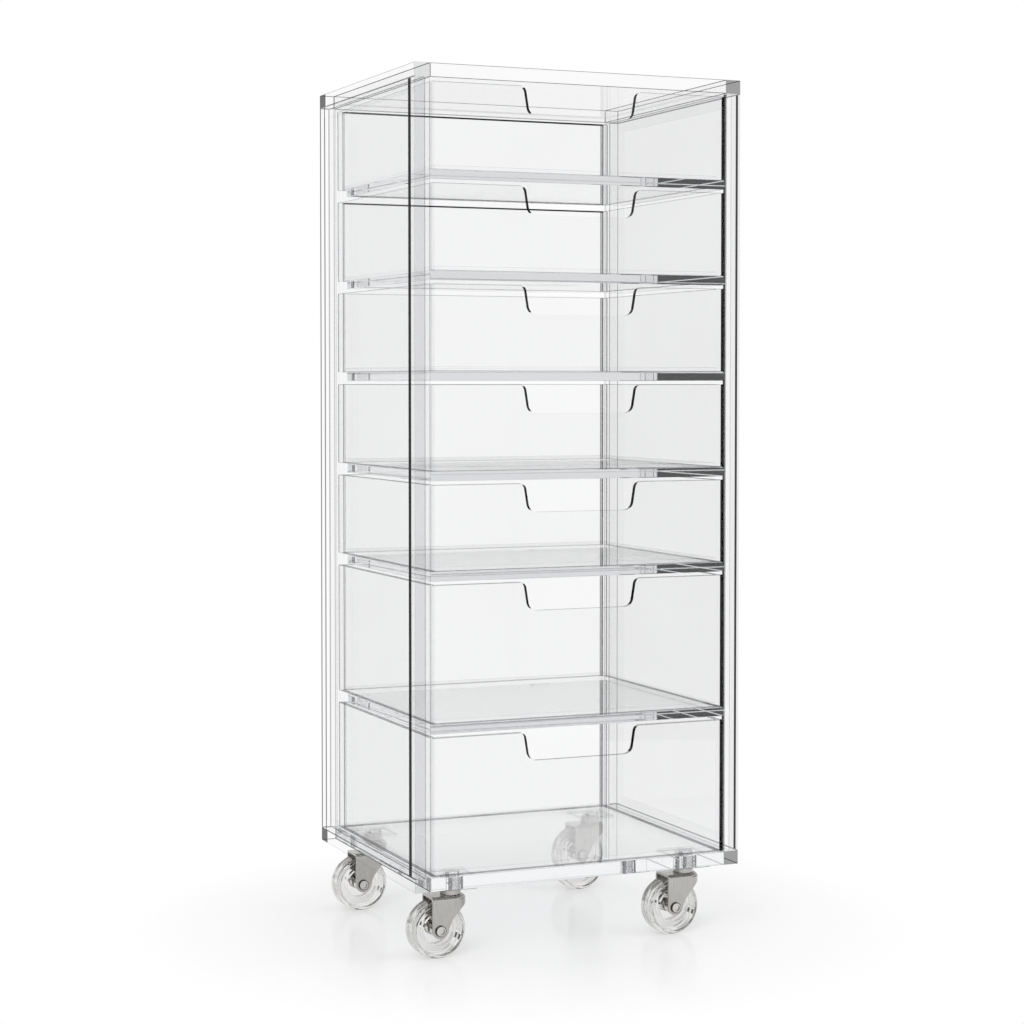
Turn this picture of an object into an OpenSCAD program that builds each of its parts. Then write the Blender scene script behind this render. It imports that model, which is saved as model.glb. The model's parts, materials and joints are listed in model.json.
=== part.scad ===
// Rolling drawer cart: a cemented clear sheet cabinet with a stack of pull-out
// drawers, standing on four swivel casters.
// Millimetres. Origin on the floor under the middle of the cabinet.
// X runs across the front, +Y towards the back, Z up. The drawers open towards -Y.

/* [Cabinet] */
// Width of the cabinet over its side frames
cabinet_w = 310; // [240:1:420]
// Depth of the cabinet, front edges to back face
cabinet_d = 250; // [200:1:340]
// Thickness of the top and bottom panels and of the rails along their ends
panel_t = 12; // [9:0.5:18]
// Thickness of the side panels
side_t = 5; // [3:0.5:10]
// Thickness of the window frames on the outside of the side panels
frame_t = 9; // [6:0.5:15]
// Width of the upright bars of a frame
stile_w = 15; // [10:0.5:30]
// Width of the level bars of a frame
frame_bar_w = 10; // [6:0.5:30]
// Thickness of the back panel
back_t = 4; // [3:0.5:10]
// Thickness of the shelves between the drawers
shelf_t = 8; // [5:0.5:12]
// How far shelves and drawers stand back from the front edges
front_recess = 1; // [0.5:0.5:20]
// Gap between the shelves and the back panel
shelf_rear_gap = 31; // [2:1:60]
// Width of the polished chamfer along the sheet edges
edge_chamfer = 0.5; // [0.2:0.1:1]
// Thickness of the clear cement film in each glued joint
cement_film = 0.1; // [0.05:0.05:0.3]

/* [Drawers] */
// Number of shallow drawers, from the top down
shallow_count = 5; // [1:1:5]
// Number of deep drawers under them
deep_count = 2; // [1:1:2]
// Clear height of the bay for a shallow drawer
shallow_bay_h = 77; // [55:1:110]
// Clear height of the bay for a deep drawer
deep_bay_h = 122; // [80:1:180]
// Thickness of the drawer walls
wall_t = 5; // [3:0.5:8]
// Thickness of the drawer floors
floor_t = 4; // [3:0.5:8]
// Gap between a drawer and the side panel on each side
side_gap = 1.25; // [0.75:0.25:3]
// Gap between a drawer and the sheet above it
top_gap = 3; // [1:0.5:6]
// Running gap under a drawer
slide_gap = 0.3; // [0.1:0.1:0.6]
// Gap between a closed drawer and the back panel
rear_gap = 1.5; // [0.5:0.5:20]

/* [Finger notch] */
// Depth of the notch below the top edge of a drawer front
notch_depth = 25; // [12:1:40]
// Width of the notch along its bottom
notch_bottom_w = 98; // [50:1:140]
// How far each side of the notch leans out on its way up
notch_flare = 4; // [0:0.5:10]
// Radius of the two inner corners
notch_corner_r = 8; // [2:0.5:11]
// Radius of the two corners where the notch meets the top edge
notch_lip_r = 6; // [2:0.5:11]

/* [Caster wheels] */
// Diameter of a wheel over its tread
wheel_d = 50; // [40:1:75]
// Width of a wheel across its tread
wheel_w = 20; // [16:0.5:30]
// Radial thickness of the tyre
tyre_t = 4.2; // [3:0.1:7]
// Radius of the tread shoulders
shoulder_r = 4; // [1.5:0.1:6]
// Height of the rib that keys the tyre to the hub
key_h = 1.5; // [0.8:0.1:2]
// Width of that rib
key_w = 6; // [3:0.5:8]
// Radius of the dished recess in each face of the hub
recess_r = 14; // [10:0.5:15]
// How far the rim of the hub stands in from the sides of the tyre
rim_step = 1; // [0.5:0.1:2]
// Thickness of the hub's web
web_t = 7; // [4:0.5:10]
// Radius of the boss round the axle
boss_r = 6.5; // [5:0.25:8]
// Diameter of the wheel axle
axle_d = 6; // [4:0.5:8]
// Diameter of the axle's rolled heads
axle_head_d = 9.6; // [9:0.2:12]
// Height of the axle's rolled heads
axle_head_h = 1.8; // [1:0.1:3]

/* [Caster forks] */
// Sheet thickness of the pressed forks
fork_t = 2; // [1:0.25:3]
// Outer radius of the bend round the crown of the fork
fork_bend_r = 3.5; // [3.25:0.25:6]
// Offset of the axle behind the swivel axis
trail = 14; // [8:0.5:22]
// Radius of the round leg end about the axle
leg_r = 7; // [5.5:0.5:9]
// Height of the skirt at the leading side of the fork
skirt_h = 7; // [5:0.5:10]
// Angle at which the leg's scooped edge leaves the round end
scoop_tilt = 15; // [0:1:25]
// Gap between wheel and fork on each side
wheel_side_gap = 1; // [0.6:0.1:2]
// Gap between the tread and the crown of the fork
wheel_top_gap = 2; // [1.5:0.1:4]

/* [Caster swivels] */
// Diameter of the stem
stem_d = 8; // [6:0.5:9]
// Outer diameter of the swivel head
head_d = 18; // [17:0.5:26]
// Height of the swivel head over the fork
head_h = 6; // [5:0.5:10]
// Wall of the swivel head's cap
cap_wall = 1; // [0.6:0.1:1.5]
// Diameter of the bearing balls
ball_d = 3; // [2:0.1:3.1]
// Sheet left between a fork's crown and the balls
race_floor = 0.2; // [0.1:0.05:0.4]
// Number of balls in each swivel
ball_count = 8; // [6:1:9]
// Diameter of the stem's riveted end
rivet_d = 12; // [11:0.5:16]
// Diameter of the threaded inserts in the bottom panel
insert_d = 16; // [12:0.5:20]
// Height of the threaded inserts
insert_h = 8; // [5:0.5:8]
// Side of the square pads under the bottom panel
pad_side = 36; // [28:1:48]
// Thickness of the pads
pad_t = 2.5; // [1.5:0.5:6]
// Distance of the swivel axes from the cabinet's side faces
caster_inset_x = 42; // [40:1:80]
// Distance of the swivel axes from the cabinet's front and back faces
caster_inset_y = 26; // [24:1:80]

/* [Clearances] */
// Radial clearance of a shaft in its bore
run_gap = 0.05; // [0.02:0.01:0.08]
// Play between pieces that only locate each other
play_gap = 0.3; // [0.2:0.05:0.4]

/* [Hidden] */
$fn = 64;

drawer_count = shallow_count + deep_count;
shelf_count = drawer_count - 1;
caster_names = ["front_left", "front_right", "rear_left", "rear_right"];
drawer_pieces = ["front", "sides", "back", "floor"];
caster_pieces = ["fork", "axle", "tyre", "hub"];

// Finishes
clear_sheet = [0.86, 0.92, 0.95, 0.35];
clear_resin = [0.88, 0.89, 0.87, 0.5];
nickel = [0.72, 0.71, 0.69];
zinc = [0.62, 0.62, 0.64];

// Heights of the casters, from the floor up
axle_z = wheel_d / 2;
crown_under_z = wheel_d + wheel_top_gap;
crown_z = crown_under_z + fork_t;
pad_z = crown_z + head_h;
cabinet_z = pad_z + pad_t;

// Heights of the cabinet
bays_h = shallow_count * shallow_bay_h + deep_count * deep_bay_h;
cabinet_h = bays_h + shelf_count * shelf_t + 2 * panel_t;
top_z = cabinet_z + cabinet_h;
side_z = cabinet_z + panel_t + cement_film;
side_h = cabinet_h - 2 * (panel_t + cement_film);

// Plan of the cabinet
rail_w = frame_t + cement_film + side_t;
bay_w = cabinet_w - 2 * rail_w;
between_w = bay_w - 2 * cement_film;
front_y = front_recess - cabinet_d / 2;
back_y = cabinet_d / 2 - back_t;

// Plan of a drawer
drawer_w = bay_w - 2 * side_gap;
drawer_d = back_y - rear_gap - front_y;
inner_w = drawer_w - 2 * (wall_t + cement_film);
behind_front_y = front_y + wall_t + cement_film;
drawer_back_y = front_y + drawer_d - wall_t;

// Clear height of bay i, its floor level, and the height of its drawer; bay 1 is the top one
function bay_h(i) = i <= shallow_count ? shallow_bay_h : deep_bay_h;
function bay_floor_z(i) =
    top_z - panel_t - (i - 1) * shelf_t
    - min(i, shallow_count) * shallow_bay_h
    - max(i - shallow_count, 0) * deep_bay_h;
function drawer_z(i) = bay_floor_z(i) + slide_gap;
function drawer_h(i) = bay_h(i) - top_gap - slide_gap;

// Plan of the casters
fork_r = wheel_w / 2 + wheel_side_gap + fork_t;
swivel_x = cabinet_w / 2 - caster_inset_x;
swivel_y = cabinet_d / 2 - caster_inset_y;
swivels = [for (y = [-swivel_y, swivel_y]) for (x = [-swivel_x, swivel_x]) [x, y, 0]];

// Scooped edge of the fork's legs: an arc that leaves the round leg end at its tangent
// and meets the foot of the skirt at the fork's leading side
scoop_dir = [cos(scoop_tilt), -sin(scoop_tilt)];
skirt_reach = [fork_r + trail, crown_z - skirt_h - axle_z];
scoop_along = skirt_reach * scoop_dir;
scoop_r = (skirt_reach * skirt_reach - 2 * leg_r * scoop_along + leg_r * leg_r)
    / (2 * (scoop_along - leg_r));
axle_at = [-trail, axle_z];
scoop_at = axle_at + (scoop_r + leg_r) * scoop_dir;
leg_tangent = axle_at + leg_r * scoop_dir;

// Swivel bearing
stem_bore_r = stem_d / 2 + run_gap;
cap_inner_r = head_d / 2 - cap_wall;
race_outer_r = cap_inner_r - play_gap;
race_pitch_r = (stem_bore_r + race_outer_r) / 2;
groove_r = ball_d / 2 + run_gap;
ball_z = crown_z + race_floor + groove_r;
race_gap = ball_d / 3;
rivet_h = wheel_top_gap - 2 * play_gap;
rivet_z = crown_under_z - play_gap - rivet_h;

// Bearing fits of the wheel
hub_r = wheel_d / 2 - tyre_t;
hub_half_w = wheel_w / 2 + wheel_side_gap - play_gap;
rim_half_w = wheel_w / 2 - rim_step;
axle_half = fork_r + run_gap;

// How far a cutter runs past the face it cuts
overrun = 1;

// Rectangle with its four corners cut at 45 degrees
module bevelled_rectangle(a, b) {
    c = edge_chamfer;
    polygon([
        [c, 0], [a - c, 0], [a, c], [a, b - c],
        [a - c, b], [c, b], [0, b - c], [0, c]
    ]);
}

// Sheet with all its edges chamfered, lowest corner at the origin
module sheet(size) {
    intersection() {
        linear_extrude(size.z) bevelled_rectangle(size.x, size.y);
        translate([0, size.y, 0]) rotate([90, 0, 0])
            linear_extrude(size.y) bevelled_rectangle(size.x, size.z);
        rotate([90, 0, 90]) linear_extrude(size.x) bevelled_rectangle(size.y, size.z);
    }
}

// Top and bottom panels lie between the rails
module top_panel() {
    color(clear_sheet)
        translate([-between_w / 2, -cabinet_d / 2, top_z - panel_t])
            sheet([between_w, cabinet_d, panel_t]);
}

module bottom_panel() {
    color(clear_sheet) difference() {
        translate([-between_w / 2, -cabinet_d / 2, cabinet_z])
            sheet([between_w, cabinet_d, panel_t]);
        for (at = swivels) translate(at + [0, 0, cabinet_z - overrun])
            cylinder(h = insert_h + play_gap + overrun, r = insert_d / 2 + cement_film);
    }
}

// Rails run front to back along the ends of the top and bottom panels, over the side walls
module side_rails() {
    color(clear_sheet)
        for (x = [-cabinet_w / 2, cabinet_w / 2 - rail_w])
            for (z = [cabinet_z, top_z - panel_t])
                translate([x, -cabinet_d / 2, z]) sheet([rail_w, cabinet_d, panel_t]);
}

// Thin panels that close the sides
module side_panels() {
    color(clear_sheet)
        for (x = [-bay_w / 2 - side_t, bay_w / 2])
            translate([x, -cabinet_d / 2, side_z]) sheet([side_t, cabinet_d, side_h]);
}

// Frames round the outside of the side panels, each cut from one sheet with a wide window
module side_frames() {
    window_d = cabinet_d - 2 * stile_w;
    window_h = side_h - 2 * frame_bar_w;
    color(clear_sheet)
        for (x = [-cabinet_w / 2, cabinet_w / 2 - frame_t]) difference() {
            translate([x, -cabinet_d / 2, side_z]) sheet([frame_t, cabinet_d, side_h]);
            translate([x - overrun, -window_d / 2, side_z + frame_bar_w])
                cube([frame_t + 2 * overrun, window_d, window_h]);
        }
}

// The back closes the space between the side panels, flush with their rear edges
module back_panel() {
    color(clear_sheet)
        translate([-between_w / 2, back_y, side_z]) sheet([between_w, back_t, side_h]);
}

module shelf(i) {
    color(clear_sheet)
        translate([-between_w / 2, front_y, bay_floor_z(i) - shelf_t])
            sheet([between_w, back_y - shelf_rear_gap - front_y, shelf_t]);
}

// Outline of the finger notch, open upwards; the top edge of the front is y = 0.
// Both pairs of corners are true arcs that meet the leaning sides at a tangent.
module notch_outline() {
    lean = atan(notch_flare / notch_depth);
    half_w = notch_bottom_w / 2;
    // centre of an inner corner, and its touching points
    corner_x = half_w - notch_corner_r * (1 - sin(lean)) / cos(lean);
    corner_y = notch_corner_r - notch_depth;
    side_low = [corner_x + notch_corner_r * cos(lean), corner_y - notch_corner_r * sin(lean)];
    // centre of an outer corner, and its touching point on the side
    lip_x = half_w + (notch_depth - notch_lip_r) * tan(lean) + notch_lip_r / cos(lean);
    side_high = [lip_x - notch_lip_r * cos(lean), notch_lip_r * (sin(lean) - 1)];
    right_side = [
        [corner_x, -notch_depth], side_low, side_high, [lip_x, 0], [lip_x, overrun]
    ];
    left_side = [for (k = [len(right_side) - 1:-1:0]) [-right_side[k].x, right_side[k].y]];
    difference() {
        union() {
            polygon(concat(right_side, left_side));
            for (s = [-1, 1]) translate([s * corner_x, corner_y]) circle(notch_corner_r);
        }
        for (s = [-1, 1]) translate([s * lip_x, -notch_lip_r]) circle(notch_lip_r);
    }
}

module drawer_front(i) {
    color(clear_sheet) difference() {
        translate([-drawer_w / 2, front_y, drawer_z(i)]) sheet([drawer_w, wall_t, drawer_h(i)]);
        translate([0, front_y + wall_t + overrun, drawer_z(i) + drawer_h(i)])
            rotate([90, 0, 0]) linear_extrude(wall_t + 2 * overrun) notch_outline();
    }
}

// The two side walls stand behind the front
module drawer_sides(i) {
    color(clear_sheet)
        for (x = [-drawer_w / 2, drawer_w / 2 - wall_t])
            translate([x, behind_front_y, drawer_z(i)])
                sheet([wall_t, front_y + drawer_d - behind_front_y, drawer_h(i)]);
}

module drawer_back(i) {
    color(clear_sheet)
        translate([-inner_w / 2, drawer_back_y, drawer_z(i)])
            sheet([inner_w, wall_t, drawer_h(i)]);
}

module drawer_floor(i) {
    color(clear_sheet)
        translate([-inner_w / 2, behind_front_y, drawer_z(i)])
            sheet([inner_w, drawer_back_y - cement_film - behind_front_y, floor_t]);
}

module drawer_piece(i, piece) {
    if (piece == "front") drawer_front(i);
    if (piece == "sides") drawer_sides(i);
    if (piece == "back") drawer_back(i);
    if (piece == "floor") drawer_floor(i);
}

// Clear pads that space the swivel heads off the bottom panel
module caster_pads() {
    color(clear_sheet) for (at = swivels) translate(at) difference() {
        translate([-pad_side / 2, -pad_side / 2, pad_z + cement_film])
            sheet([pad_side, pad_side, pad_t - 2 * cement_film]);
        translate([0, 0, pad_z - overrun])
            cylinder(h = pad_t + 2 * overrun, r = stem_d / 2 + play_gap);
    }
}

module threaded_inserts() {
    color(zinc) for (at = swivels) translate(at + [0, 0, cabinet_z]) difference() {
        cylinder(h = insert_h, r = insert_d / 2);
        translate([0, 0, -overrun])
            cylinder(h = insert_h + 2 * overrun, r = stem_bore_r);
    }
}

// Half section of a stem: riveted end, shaft, and the cap with the upper ball race
module stem_section() {
    translate([0, rivet_z]) square([rivet_d / 2, rivet_h]);
    translate([0, rivet_z]) square([stem_d / 2, cabinet_z + insert_h - play_gap - rivet_z]);
    difference() {
        translate([0, crown_z + play_gap])
            square([head_d / 2, head_h - play_gap]);
        translate([stem_d / 2, crown_z])
            square([cap_inner_r - stem_d / 2, ball_z + race_gap / 2 - crown_z]);
        translate([race_pitch_r, ball_z]) circle(groove_r);
    }
}

module caster_stems() {
    color(nickel) for (at = swivels) translate(at) rotate_extrude() stem_section();
}

module swivel_balls() {
    color(zinc) for (at = swivels) for (k = [0:ball_count - 1])
        translate(at + [0, 0, ball_z]) rotate([0, 0, k * 360 / ball_count])
            translate([race_pitch_r, 0, 0]) sphere(d = ball_d);
}

// Half section of the fork's crown and skirt: sheet bent down round its edge
module bent_crown_section(inset) {
    r = fork_bend_r - inset;
    w = fork_r - inset;
    top = crown_z - inset;
    foot = axle_z - leg_r - overrun;
    translate([0, foot]) square([w, top - r - foot]);
    translate([0, foot]) square([w - r, top - foot]);
    translate([w - r, top - r]) circle(r);
}

module fork_section() {
    difference() {
        bent_crown_section(0);
        translate([0, -overrun]) square([fork_r - fork_bend_r, crown_under_z + overrun]);
        bent_crown_section(fork_t);
    }
}

// Side view of the fork: round leg ends, straight trailing edge, scooped leading edge
module fork_side_view() {
    translate(axle_at) circle(leg_r);
    difference() {
        polygon([
            [-trail - leg_r, axle_z], [-trail - leg_r, crown_z + overrun],
            [fork_r + overrun, crown_z + overrun], [fork_r + overrun, leg_tangent.y], leg_tangent
        ]);
        translate(scoop_at) circle(scoop_r);
    }
}

// Pressed fork: half a round cup at its leading side, carried on as a channel over the wheel
module fork() {
    color(nickel) difference() {
        union() {
            intersection() {
                union() {
                    rotate([0, 0, -90]) rotate_extrude(angle = 180) fork_section();
                    rotate([90, 0, -90]) linear_extrude(trail + leg_r) {
                        fork_section();
                        mirror([1, 0]) fork_section();
                    }
                }
                translate([0, fork_r + overrun, 0]) rotate([90, 0, 0])
                    linear_extrude(2 * (fork_r + overrun)) fork_side_view();
            }
            translate([0, 0, crown_z - fork_t / 2])
                cylinder(h = ball_z - race_gap / 2 - crown_z + fork_t / 2, r = race_outer_r);
        }
        translate([0, 0, crown_under_z - overrun])
            cylinder(h = crown_z - crown_under_z + ball_d + 2 * overrun, r = stem_bore_r);
        translate([0, 0, ball_z]) rotate_extrude() translate([race_pitch_r, 0]) circle(groove_r);
        translate([-trail, fork_r + overrun, axle_z]) rotate([90, 0, 0])
            cylinder(h = 2 * (fork_r + overrun), r = axle_d / 2 + run_gap);
    }
}

// Half section of the axle, along its length; both ends are rolled over into dished heads
module axle_section() {
    tip = axle_half + axle_head_h;
    dish_r = axle_d / 2;
    difference() {
        union() {
            translate([0, -tip]) square([axle_d / 2, 2 * tip]);
            for (s = [-1, 1]) translate([0, s * (axle_half + axle_head_h / 2)]) {
                translate([0, -axle_head_h / 2])
                    square([(axle_head_d - axle_head_h) / 2, axle_head_h]);
                translate([(axle_head_d - axle_head_h) / 2, 0]) circle(axle_head_h / 2);
            }
        }
        for (s = [-1, 1]) translate([0, s * tip])
            square([2 * dish_r, axle_head_h], center = true);
    }
}

module axle() {
    color(nickel)
        translate([-trail, 0, axle_z]) rotate([90, 0, 0]) rotate_extrude() axle_section();
}

// Half section of the tyre, with rounded shoulders and the groove for the hub's rib
module tyre_section() {
    half_w = wheel_w / 2;
    outer_r = wheel_d / 2;
    inner_r = hub_r + cement_film;
    difference() {
        union() {
            translate([inner_r, shoulder_r - half_w])
                square([outer_r - inner_r, 2 * (half_w - shoulder_r)]);
            translate([inner_r, -half_w]) square([outer_r - shoulder_r - inner_r, wheel_w]);
            for (s = [-1, 1]) intersection() {
                translate([outer_r - shoulder_r, s * (half_w - shoulder_r)]) circle(shoulder_r);
                translate([inner_r, -half_w]) square([tyre_t, wheel_w]);
            }
        }
        translate([0, -key_w / 2 - cement_film])
            square([hub_r + key_h + cement_film, key_w + 2 * cement_film]);
    }
}

module tyre() {
    color(clear_resin)
        translate([-trail, 0, axle_z]) rotate([90, 0, 0]) rotate_extrude() tyre_section();
}

// Half section of the hub: boss, web, rim and the rib under the tyre
module hub_section() {
    bore_r = axle_d / 2 + run_gap;
    translate([bore_r, -hub_half_w]) square([boss_r - bore_r, 2 * hub_half_w]);
    translate([bore_r, -web_t / 2]) square([hub_r - bore_r, web_t]);
    translate([recess_r, -rim_half_w]) square([hub_r - recess_r, 2 * rim_half_w]);
    translate([recess_r, -key_w / 2]) square([hub_r + key_h - recess_r, key_w]);
}

module hub() {
    color(clear_resin)
        translate([-trail, 0, axle_z]) rotate([90, 0, 0]) rotate_extrude() hub_section();
}

module caster_piece(i, piece) {
    translate(swivels[i]) {
        if (piece == "fork") fork();
        if (piece == "axle") axle();
        if (piece == "tyre") tyre();
        if (piece == "hub") hub();
    }
}

side_panels();
side_frames();
side_rails();
top_panel();
bottom_panel();
back_panel();
for (i = [1:shelf_count])
    shelf(i);
for (i = [1:drawer_count]) for (piece = drawer_pieces)
    drawer_piece(i, piece);
caster_pads();
threaded_inserts();
caster_stems();
swivel_balls();
for (i = [0:len(caster_names) - 1]) for (piece = caster_pieces)
    caster_piece(i, piece);
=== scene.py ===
"""Looks of a rolling drawer cart: a clear sheet cabinet with clear drawers, on nickel casters."""

import json
import math

import bmesh
import bpy
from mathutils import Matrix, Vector


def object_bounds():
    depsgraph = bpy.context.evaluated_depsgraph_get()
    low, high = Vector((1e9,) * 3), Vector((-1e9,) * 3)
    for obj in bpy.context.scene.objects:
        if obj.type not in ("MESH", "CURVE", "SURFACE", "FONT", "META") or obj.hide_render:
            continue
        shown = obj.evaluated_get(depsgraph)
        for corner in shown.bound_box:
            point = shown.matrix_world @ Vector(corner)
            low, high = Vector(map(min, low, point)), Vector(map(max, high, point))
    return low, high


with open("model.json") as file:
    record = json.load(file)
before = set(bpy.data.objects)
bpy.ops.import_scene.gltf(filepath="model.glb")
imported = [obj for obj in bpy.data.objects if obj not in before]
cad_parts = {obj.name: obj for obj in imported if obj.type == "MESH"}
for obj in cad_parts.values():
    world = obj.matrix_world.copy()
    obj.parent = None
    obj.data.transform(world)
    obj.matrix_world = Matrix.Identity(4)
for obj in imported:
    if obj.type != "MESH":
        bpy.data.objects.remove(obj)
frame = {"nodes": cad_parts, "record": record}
cad_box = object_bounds()
scene = bpy.context.scene

MM = 0.001
WHITE = (1, 1, 1)
CART_CENTRE = (cad_box[0] + cad_box[1]) / 2

# Outer faces of the cabinet, which its side frames reach
frame_points = [vertex.co for vertex in frame["nodes"]["side_frames"].data.vertices]
LEFT = min(point.x for point in frame_points)
RIGHT = max(point.x for point in frame_points)
FRONT = min(point.y for point in frame_points)
BACK = max(point.y for point in frame_points)

# Camera, before the cart and to its left
CAMERA_AT = Vector((-0.8384, -1.9304, 0.4945))
CAMERA_TURN = math.radians(-23.16)
CAMERA_TILT = math.radians(-1.937)
LENS_MM = 80.65
SENSOR_MM = 36.0
FRAME_SHIFT = -0.05

# Lamps, with their sides in metres
KEY_LAMP = {"at": (-1.3, -1.7, 2.4), "side": 1.4, "watts": 42}
FILL_LAMP = {"at": (1.9, -0.9, 1.6), "side": 1.6, "watts": 16}

# Floor: its own shade near the cart gives way to plain white between two distances
FLOOR_RADIUS = 0.95
FLOOR_FADE = (0.16, 0.36)
FLOOR_GLOW = 0.4
FLOOR_GLOSS = 0.25
FLOOR_TONE = (0.92, 0.92, 0.92)

# Ring of white paper and dark flags that reflections find: degrees from straight back, right
# positive, and levels. The ring closes in white, and fades to white away from the horizon.
STUDIO_CARDS = (
    (-105, 1.00),
    (-98, 0.05),
    (-23, 0.05),
    (-21.8, 0.97),
    (58, 0.97),
    (63, 0.05),
    (122, 0.05),
    (126, 0.55),
    (138, 0.55),
    (142, 1.00),
)
CARD_FADE = (0.16, 0.19)
OVERHEAD_TONE = (0.3, 0.3, 0.3)
OVERHEAD_FADE = (0.35, 0.6)
AMBIENT = 0.55

# Clear materials
ACRYLIC_IOR = 1.49
RESIN_IOR = 1.5
SCRAPED_TONE = (0.80, 0.81, 0.82)
# Painted shade: grey tone on the front face of the shelves
SHELF_FRONT_SHADE = (0.62, 0.63, 0.65)

# Parts of a unit normal: below the first on every axis is a chamfer, above the second faces a way
CHAMFER_LIMIT = 0.85
FACING_LIMIT = 0.6


def span(face, near, far):
    """Limits in metres, given in millimetres from an outer face of the cabinet."""
    return face + near * MM, face + far * MM


# Painted shade: places on the sheets given dark or grey tones where thick acrylic bends the light
LEFT_FACE = span(LEFT, -0.1, 0.2)
RIGHT_FACE = span(RIGHT, -0.2, 0.1)
FRONT_FACE = span(FRONT, -0.1, 0.4)
SHELF_FRONT = {"Y": span(FRONT, 0.9, 1.4)}
FRONT_PLANE = {"Y": FRONT_FACE}
FRONT_LINE = {"X": LEFT_FACE, "Y": span(FRONT, 8.5, 15.2)}
WINDOW_LINE = {"X": LEFT_FACE, "Y": span(BACK, -15.2, -12.5)}
REAR_LINE = {"X": LEFT_FACE, "Y": span(BACK, -3.5, 0.1)}
RIGHT_LINE = {"X": RIGHT_FACE, "Y": span(FRONT, 4.5, 8.5)}
RAIL_REAR = {"X": LEFT_FACE, "Y": span(BACK, -17.0, -1.0)}
RAIL_FRONT = {"X": span(RIGHT, -14.2, 0.1), "Y": FRONT_FACE}
PANEL_INSIDE = {"X": span(RIGHT, -14.2, -14.0), "Y": span(FRONT, 0.9, 5.5)}
DRAWER_LEFT_END = {"X": span(LEFT, 15.2, 16.1)}
DRAWER_REAR = {"Y": span(BACK, -8.5, -6.1)}
BACK_RIGHT_END = {"X": span(RIGHT, -21.9, -21.0)}

# Painted shade: a dark line along the top of the upper drawers' back walls, which stand above a height in
# metres
PAINTED_TOP_SHADE_WIDTH = 1.1 * MM
PAINTED_TOP_SHADE_TONE = 0.04
PAINTED_TOP_SHADE_FROM = 0.62
PAINTED_TOP_SHADE_KINDS = ("back",)

# Thin sheets: the light that a face lets by, the share of gloss, and painted shade in place of the light
# that the acrylic bends: the tone of the chamfers, tones of edges by the way they face, and tones of
# places
SHEETS = {
    "front": {
        "clearness": 0.982,
        "chamfer": 0.40,
        "edges": {"+Z": 0.50, "-Z": 0.95, "-X": 0.02, "+X": 0.01},
        "marks": ((DRAWER_LEFT_END, 0.85),),
    },
    "back": {
        "clearness": 0.982,
        "edges": {"+Z": 0.50, "-Z": 0.95},
        "marks": ((BACK_RIGHT_END, 0.30),),
    },
    "sides": {
        "clearness": 0.977,
        "edges": {"+Z": 0.40, "-Z": 0.95, "-Y": 0.95},
        "marks": ((DRAWER_REAR, 0.35),),
    },
    "floor": {"clearness": 0.993, "sheen": 0.6, "chamfer": 0.90},
    "side_panels": {
        "clearness": 0.978,
        "edges": {"+Z": 0.95, "-Z": 0.95},
        "marks": ((PANEL_INSIDE, 0.10),),
    },
    "side_frames": {
        "clearness": 0.985,
        "chamfer": 0.38,
        "marks": (
            (FRONT_PLANE, 0.85),
            (FRONT_LINE, 0.01),
            (WINDOW_LINE, 0.22),
            (REAR_LINE, 0.25),
            (RIGHT_LINE, 0.06),
        ),
    },
    "side_rails": {
        "clearness": 0.980,
        "chamfer": 0.12,
        "marks": ((FRONT_PLANE, 0.80), (RAIL_REAR, 0.15), (RAIL_FRONT, 0.35)),
    },
    "back_panel": {"clearness": 0.990, "chamfer": 0.70},
    "top_panel": {"clearness": 0.980, "sheen": 0.5, "chamfer": 0.20},
    "caster_pads": {"clearness": 0.950, "sheen": 0.5, "chamfer": 0.30},
}


def feed(tree, shader, inputs):
    """Links other sockets to a node's inputs, or sets them to numbers and tones."""
    for name, value in inputs.items():
        socket = shader.inputs[name]
        if isinstance(value, bpy.types.NodeSocket):
            tree.links.new(value, socket)
        elif socket.type == "RGBA":
            socket.default_value = (*value, 1)
        else:
            socket.default_value = value


def tree_node(tree, kind, inputs=None, **settings):
    """A new node with its settings and its inputs."""
    made = tree.nodes.new(kind)
    for name, value in settings.items():
        setattr(made, name, value)
    feed(tree, made, inputs or {})
    return made


def new_material(name):
    """A material with its Principled shader and output, ready for patterns."""
    material = bpy.data.materials.new(name)
    material.use_nodes = True
    tree = material.node_tree
    return material, tree, tree.nodes["Principled BSDF"], tree.nodes["Material Output"]


def worked_out(tree, operation, *values):
    """The result of a sum or a test on sockets and numbers."""
    made = tree_node(tree, "ShaderNodeMath", dict(enumerate(values)), operation=operation)
    return made.outputs["Value"]


def along_axes(tree, vector):
    """The X, Y and Z parts of a vector."""
    return tree_node(tree, "ShaderNodeSeparateXYZ", {"Vector": vector}).outputs


def place_on_piece(tree):
    """Where a point lies on its piece, in metres."""
    return tree_node(tree, "ShaderNodeTexCoord").outputs["Object"]


def surface_normal(tree):
    """The way that the surface faces."""
    return tree_node(tree, "ShaderNodeNewGeometry").outputs["True Normal"]


def blend(tree, share, first, second):
    """A shader that goes from the first to the second with a share."""
    return tree_node(tree, "ShaderNodeMixShader", {0: share, 1: first, 2: second}).outputs["Shader"]


def object_noise(tree, scale, detail, stretch=(1, 1, 1)):
    """Noise fixed to the piece, its places in metres; stretch squeezes it along an axis."""
    mapping = tree_node(tree, "ShaderNodeMapping", {"Vector": place_on_piece(tree), "Scale": stretch})
    inputs = {"Vector": mapping.outputs["Vector"], "Scale": scale, "Detail": detail}
    return tree_node(tree, "ShaderNodeTexNoise", inputs).outputs["Fac"]


def spread(tree, value, low, high, start=0.3, end=0.7):
    """A pattern between start and end carried over to the range low to high."""
    inputs = {"Value": value, "From Min": start, "From Max": end, "To Min": low, "To Max": high}
    return tree_node(tree, "ShaderNodeMapRange", inputs).outputs["Result"]


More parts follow.
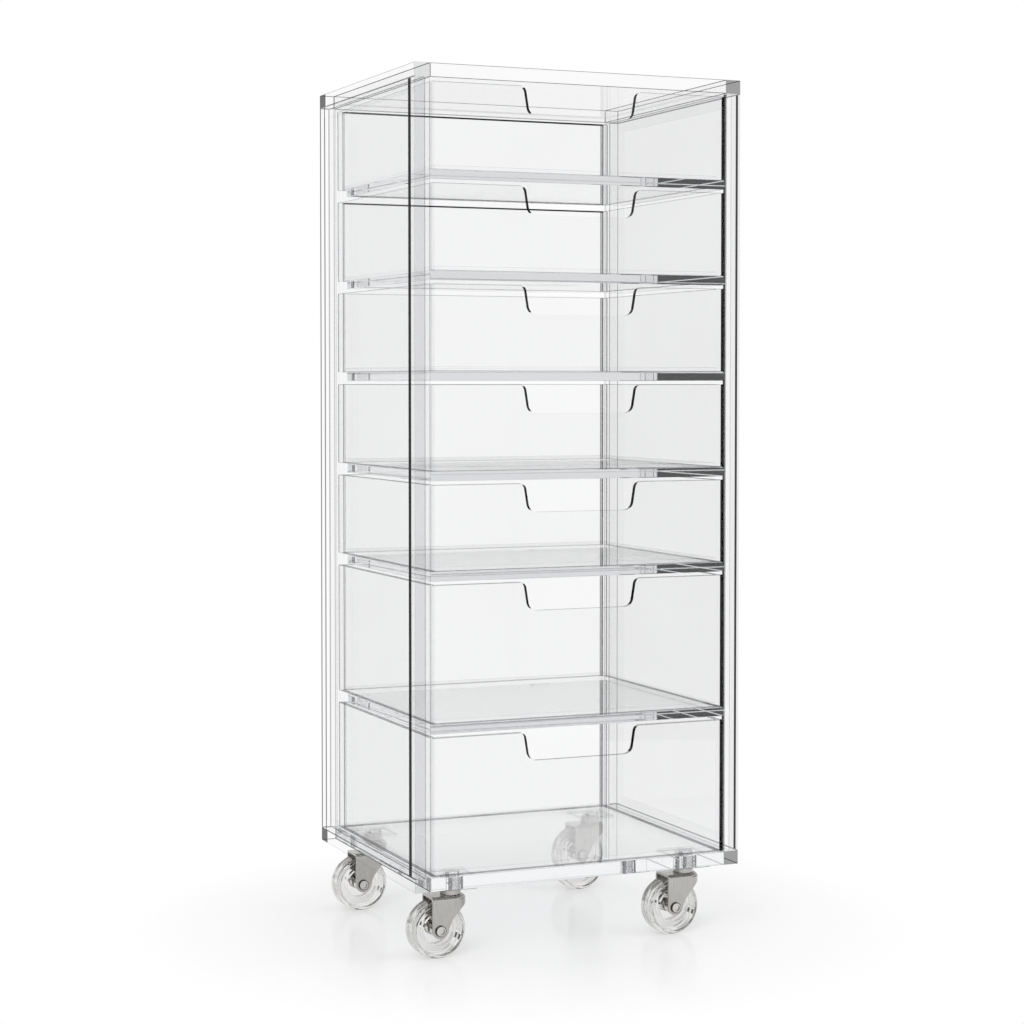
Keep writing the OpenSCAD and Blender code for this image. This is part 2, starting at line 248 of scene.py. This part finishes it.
def two_tones(tree, pattern, first, second):
    """A colour that goes from the first to the second, tones or colour sockets, with a pattern."""
    mix = tree_node(tree, "ShaderNodeMix", {"Factor": pattern}, data_type="RGBA")
    places = {s.name: at for at, s in enumerate(mix.inputs) if s.type == "RGBA"}
    feed(tree, mix, {places["A"]: first, places["B"]: second})
    return next(s for s in mix.outputs if s.type == "RGBA")


def relief(tree, shader, height, distance):
    """Surface relief from a height pattern; distance in metres."""
    bump = tree_node(tree, "ShaderNodeBump", {"Strength": 1.0, "Distance": distance, "Height": height})
    feed(tree, shader, {"Normal": bump.outputs["Normal"]})


def let_lamps_through(tree, surface, output, tint):
    """Clear pieces pass lamp light on, so that they throw only a faint shadow."""
    path = tree_node(tree, "ShaderNodeLightPath").outputs
    passing = worked_out(tree, "MAXIMUM", path["Is Shadow Ray"], path["Is Diffuse Ray"])
    clear = tree_node(tree, "ShaderNodeBsdfTransparent", {"Color": tint})
    feed(tree, output, {"Surface": blend(tree, passing, surface, clear.outputs["BSDF"])})


def absorb(tree, output, colour, density):
    """Tint that gathers with the length of the way through the material."""
    volume = tree_node(tree, "ShaderNodeVolumeAbsorption", {"Color": colour, "Density": density})
    feed(tree, output, {"Volume": volume.outputs["Volume"]})


def edge_mask(tree):
    """1 on the slanted chamfers of a sheet, 0 on its faces and square edges."""
    size = tree_node(tree, "ShaderNodeVectorMath", {0: surface_normal(tree)}, operation="ABSOLUTE")
    axes = along_axes(tree, size.outputs["Vector"])
    pair = worked_out(tree, "MAXIMUM", axes["X"], axes["Y"])
    largest = worked_out(tree, "MAXIMUM", pair, axes["Z"])
    return worked_out(tree, "LESS_THAN", largest, CHAMFER_LIMIT)


def facing(tree, way):
    """1 where the surface faces a way such as +Z or -X."""
    side, axis = way
    part = along_axes(tree, surface_normal(tree))[axis]
    if side == "+":
        return worked_out(tree, "GREATER_THAN", part, FACING_LIMIT)
    return worked_out(tree, "LESS_THAN", part, -FACING_LIMIT)


def within(tree, limits):
    """1 inside the limits, given in metres along one or two axes of the piece."""
    axes = along_axes(tree, place_on_piece(tree))
    tests = [
        worked_out(tree, "COMPARE", axes[axis], (low + high) / 2, (high - low) / 2)
        for axis, (low, high) in limits.items()
    ]
    if len(tests) == 1:
        return tests[0]
    return worked_out(tree, "MULTIPLY", *tests)


def top_edge(tree):
    """1 along the top of a piece, whose height is kept with it."""
    height = tree_node(tree, "ShaderNodeAttribute", attribute_type="OBJECT", attribute_name="top_line")
    at = along_axes(tree, place_on_piece(tree))["Z"]
    return worked_out(tree, "GREATER_THAN", at, height.outputs["Fac"])


def clear_sheet(name, front_shade=None):
    """Thick cast acrylic: polished faces that bend light, scraped chamfers and slight waviness; a painted
    grey shade on a front face when one is given.
    """
    material, tree, shader, output = new_material(name)
    face = two_tones(tree, object_noise(tree, 14, 2), (0.985, 0.987, 0.99), (0.995, 0.996, 0.997))
    # Painted shade: a grey band on the front face of the shelves
    if front_shade:
        face = two_tones(tree, within(tree, SHELF_FRONT), face, front_shade)
    polish = spread(tree, object_noise(tree, 60, 5), 0.0, 0.012)
    feed(tree, shader, {"Base Color": face, "Roughness": polish})
    feed(tree, shader, {"IOR": ACRYLIC_IOR, "Transmission Weight": 1.0})
    relief(tree, shader, object_noise(tree, 11, 1), 0.03 * MM)
    absorb(tree, output, (0.50, 0.54, 0.575), 0.8)
    scraped = tree_node(tree, "ShaderNodeBsdfTransparent", {"Color": SCRAPED_TONE})
    surface = blend(tree, edge_mask(tree), shader.outputs["BSDF"], scraped.outputs["BSDF"])
    let_lamps_through(tree, surface, output, (0.97, 0.975, 0.98))
    return material


def thin_sheet(name, clearness, sheen=0.3, chamfer=0.5, edges=None, marks=(), painted_top_shade_on=False):
    """Thin cast acrylic: light goes straight through, dimmed by each face; painted shade darkens its
    edges and places.
    """
    material, tree, shader, output = new_material(name)
    tree.nodes.remove(shader)
    low = clearness - 0.006
    high = clearness + 0.004
    tone = two_tones(tree, object_noise(tree, 9, 2), (low, low, low), (high, high + 0.001, high + 0.002))
    # Painted shade on the chamfers, on edges by the way they face, on places and, where asked, along the
    # top
    painted_shade_layers = [(edge_mask(tree), chamfer)]
    painted_shade_layers += [(facing(tree, way), level) for way, level in (edges or {}).items()]
    painted_shade_layers += [(within(tree, limits), level) for limits, level in marks]
    if painted_top_shade_on:
        painted_shade_layers.append((top_edge(tree), PAINTED_TOP_SHADE_TONE))
    for mask, level in painted_shade_layers:
        tone = two_tones(tree, mask, tone, (level, level, level * 1.01))
    clear = tree_node(tree, "ShaderNodeBsdfTransparent", {"Color": tone})
    polish = spread(tree, object_noise(tree, 60, 5), 0.01, 0.04)
    gloss = tree_node(tree, "ShaderNodeBsdfAnisotropic", {"Roughness": polish})
    slant = tree_node(tree, "ShaderNodeFresnel", {"IOR": ACRYLIC_IOR})
    inside = tree_node(tree, "ShaderNodeNewGeometry").outputs["Backfacing"]
    outer_sheen = spread(tree, inside, sheen, 0.0, 0.0, 1.0)
    share = worked_out(tree, "MULTIPLY", slant.outputs["Fac"], outer_sheen)
    feed(tree, output, {"Surface": blend(tree, share, clear.outputs["BSDF"], gloss.outputs["BSDF"])})
    return material


def clear_resin(name, tone_a, tone_b, polish_low, polish_high):
    """Clear moulded resin of the wheels: faintly warm, with flow marks."""
    material, tree, shader, output = new_material(name)
    tone = two_tones(tree, object_noise(tree, 90, 3), tone_a, tone_b)
    polish = spread(tree, object_noise(tree, 260, 4), polish_low, polish_high)
    feed(tree, shader, {"Base Color": tone, "Roughness": polish})
    feed(tree, shader, {"IOR": RESIN_IOR, "Transmission Weight": 1.0})
    relief(tree, shader, object_noise(tree, 120, 2), 0.05 * MM)
    absorb(tree, output, (0.80, 0.795, 0.78), 30.0)
    let_lamps_through(tree, shader.outputs["BSDF"], output, (0.86, 0.855, 0.84))
    return material


def nickel():
    """Satin nickel plate over pressed steel, with drawn grain."""
    material, tree, shader, _ = new_material("nickel")
    grain = object_noise(tree, 1500, 3, stretch=(1, 1, 0.05))
    tone = two_tones(tree, spread(tree, grain, 0.0, 1.0), (0.43, 0.42, 0.40), (0.53, 0.52, 0.50))
    polish = spread(tree, grain, 0.18, 0.32)
    feed(tree, shader, {"Base Color": tone, "Roughness": polish, "Metallic": 1.0})
    relief(tree, shader, grain, 0.02 * MM)
    return material


def rivet_steel():
    """Polished rivets, with painted shade that makes them dark where they slope."""
    material, tree, shader, _ = new_material("rivet_steel")
    worn = two_tones(tree, object_noise(tree, 150, 3), (0.60, 0.59, 0.57), (0.72, 0.71, 0.69))
    flatness = worked_out(tree, "ABSOLUTE", along_axes(tree, surface_normal(tree))["Y"])
    # Painted shade: sloping faces turn dark
    painted_slope_shade = spread(tree, flatness, 1.0, 0.0, 0.96, 0.995)
    tone = two_tones(tree, painted_slope_shade, worn, (0.05, 0.05, 0.05))
    polish = spread(tree, object_noise(tree, 500, 3), 0.10, 0.2)
    feed(tree, shader, {"Base Color": tone, "Roughness": polish, "Metallic": 1.0})
    return material


def zinc():
    """Bright zinc plate of the inserts, with fine ridges down their sides."""
    material, tree, shader, _ = new_material("insert_zinc")
    tone = two_tones(tree, object_noise(tree, 120, 3), (0.50, 0.50, 0.51), (0.64, 0.64, 0.65))
    polish = spread(tree, object_noise(tree, 500, 2), 0.2, 0.4)
    feed(tree, shader, {"Base Color": tone, "Roughness": polish, "Metallic": 1.0})
    relief(tree, shader, object_noise(tree, 700, 1, stretch=(1, 1, 0.1)), 0.1 * MM)
    return material


def bearing_steel():
    """Polished balls with a faint film of grease."""
    material, tree, shader, _ = new_material("bearing_steel")
    tone = two_tones(tree, object_noise(tree, 400, 2), (0.60, 0.59, 0.57), (0.76, 0.76, 0.77))
    polish = spread(tree, object_noise(tree, 300, 3), 0.08, 0.2)
    feed(tree, shader, {"Base Color": tone, "Roughness": polish, "Metallic": 1.0})
    return material


def finish_kind(name):
    """The kind of finish that a node's name asks for."""
    words = name.split("_")
    if words[0] == "shelf":
        return "shelf"
    if words[0] == "drawer" or words[-1] == "axle":
        return words[-1]
    return name


def dress():
    """Gives every CAD node a finish for its kind, or else for its material slot."""
    finishes = {
        "clear_sheet": clear_sheet("clear_sheet"),
        "clear_tread": clear_resin("clear_tread", (0.90, 0.898, 0.892), (0.95, 0.948, 0.943), 0.01, 0.06),
        "clear_hub": clear_resin("clear_hub", (0.93, 0.928, 0.922), (0.965, 0.963, 0.958), 0.0, 0.02),
        "nickel": nickel(),
        "insert_metal": zinc(),
        "bearing_steel": bearing_steel(),
        "axle": rivet_steel(),
        "shelf": clear_sheet("shelf_sheet", SHELF_FRONT_SHADE),
    }
    for kind, settings in SHEETS.items():
        finishes[kind] = thin_sheet(f"thin_{kind}", **settings, painted_top_shade_on=kind in PAINTED_TOP_SHADE_KINDS)
    for row in frame["record"]["subparts"]:
        piece = frame["nodes"][row["node"]]
        kind = finish_kind(row["node"])
        # Height where the painted dark line along the top starts; for lower pieces it lies above the top
        if kind in PAINTED_TOP_SHADE_KINDS:
            top = max(vertex.co.z for vertex in piece.data.vertices)
            piece["top_line"] = top - PAINTED_TOP_SHADE_WIDTH if top > PAINTED_TOP_SHADE_FROM else top + PAINTED_TOP_SHADE_WIDTH
        piece.data.materials.clear()
        piece.data.materials.append(finishes.get(kind, finishes[row["material_slot"]]))


def shown_directly(tree):
    """1 for rays from the camera, off metal or through glass, which all show the backdrop."""
    path = tree_node(tree, "ShaderNodeLightPath").outputs
    mirrored = worked_out(tree, "MAXIMUM", path["Is Camera Ray"], path["Is Glossy Ray"])
    return worked_out(tree, "MAXIMUM", mirrored, path["Is Transmission Ray"])


def studio_floor():
    """A round white floor that keeps the cart's shadow and melts into the white surroundings."""
    disc = bmesh.new()
    bmesh.ops.create_circle(disc, cap_ends=True, radius=FLOOR_RADIUS, segments=128)
    mesh = bpy.data.meshes.new("studio_floor")
    disc.to_mesh(mesh)
    disc.free()
    floor = bpy.data.objects.new("studio_floor", mesh)
    scene.collection.objects.link(floor)
    material, tree, shader, output = new_material("studio_floor")
    tree.nodes.remove(shader)
    matt = tree_node(tree, "ShaderNodeBsdfDiffuse", {"Color": FLOOR_TONE})
    gloss = tree_node(tree, "ShaderNodeBsdfAnisotropic", {"Roughness": 0.15})
    polished = blend(tree, FLOOR_GLOSS, matt.outputs["BSDF"], gloss.outputs["BSDF"])
    glow = tree_node(tree, "ShaderNodeEmission", {"Color": WHITE, "Strength": 1.0})
    reach = tree_node(tree, "ShaderNodeVectorMath", {0: place_on_piece(tree)}, operation="LENGTH")
    fade = spread(tree, reach.outputs["Value"], FLOOR_GLOW, 1.0, *FLOOR_FADE)
    share = worked_out(tree, "MULTIPLY", shown_directly(tree), fade)
    feed(tree, output, {"Surface": blend(tree, share, polished, glow.outputs["Emission"])})
    mesh.materials.append(material)


def studio_cards(tree, axes):
    """The ring of cards, by the bearing of a direction."""
    bearing = worked_out(tree, "ARCTAN2", axes["X"], axes["Y"])
    turn = spread(tree, bearing, 0.0, 1.0, -math.pi, math.pi)
    cards = tree_node(tree, "ShaderNodeValToRGB", {"Fac": turn})
    stops = cards.color_ramp.elements
    for end in stops:
        end.color = (*WHITE, 1)
    for degrees, level in STUDIO_CARDS:
        stops.new((degrees + 180) / 360).color = (level, level, level, 1)
    return cards.outputs["Color"]


def studio_world():
    """White surroundings; what is mirrored, also inside a sheet, finds the ring of studio cards."""
    world = bpy.data.worlds.new("studio")
    scene.world = world
    world.use_nodes = True
    tree = world.node_tree
    axes = along_axes(tree, tree_node(tree, "ShaderNodeTexCoord").outputs["Generated"])
    slope = worked_out(tree, "ABSOLUTE", axes["Z"])
    ring = two_tones(tree, spread(tree, slope, 0.0, 1.0, *CARD_FADE), studio_cards(tree, axes), WHITE)
    room = two_tones(tree, spread(tree, axes["Z"], 0.0, 1.0, *OVERHEAD_FADE), ring, OVERHEAD_TONE)
    path = tree_node(tree, "ShaderNodeLightPath").outputs
    mirrored = worked_out(tree, "GREATER_THAN", path["Glossy Depth"], 0.5)
    seen = two_tones(tree, mirrored, WHITE, room)
    strength = worked_out(tree, "MULTIPLY_ADD", path["Is Diffuse Ray"], AMBIENT - 1, 1.0)
    feed(tree, tree.nodes["Background"], {"Color": seen, "Strength": strength})


def area_lamp(name, at, side, watts):
    """A soft square lamp aimed at the middle of the cart."""
    data = bpy.data.lights.new(name, "AREA")
    data.shape = "SQUARE"
    data.size = side
    data.energy = watts
    lamp = bpy.data.objects.new(name, data)
    lamp.location = at
    lamp.rotation_euler = (CART_CENTRE - Vector(at)).to_track_quat("-Z", "Y").to_euler()
    lamp.visible_camera = False
    lamp.visible_transmission = False
    scene.collection.objects.link(lamp)


def camera():
    """The camera at the photograph's viewing angle."""
    data = bpy.data.cameras.new("camera")
    data.lens = LENS_MM
    data.sensor_width = SENSOR_MM
    data.shift_y = FRAME_SHIFT
    eye = bpy.data.objects.new("camera", data)
    eye.location = CAMERA_AT
    eye.rotation_euler = (math.pi / 2 + CAMERA_TILT, 0, CAMERA_TURN)
    scene.collection.objects.link(eye)
    scene.camera = eye


def long_light_paths():
    """Enough bounces for light to pass every sheet and run along inside it."""
    scene.cycles.max_bounces = 64
    scene.cycles.transmission_bounces = 40
    scene.cycles.glossy_bounces = 24
    scene.cycles.transparent_max_bounces = 96


scene.view_settings.view_transform = "Standard"
dress()
studio_floor()
studio_world()
area_lamp("key_lamp", **KEY_LAMP)
area_lamp("fill_lamp", **FILL_LAMP)
camera()
long_light_paths()
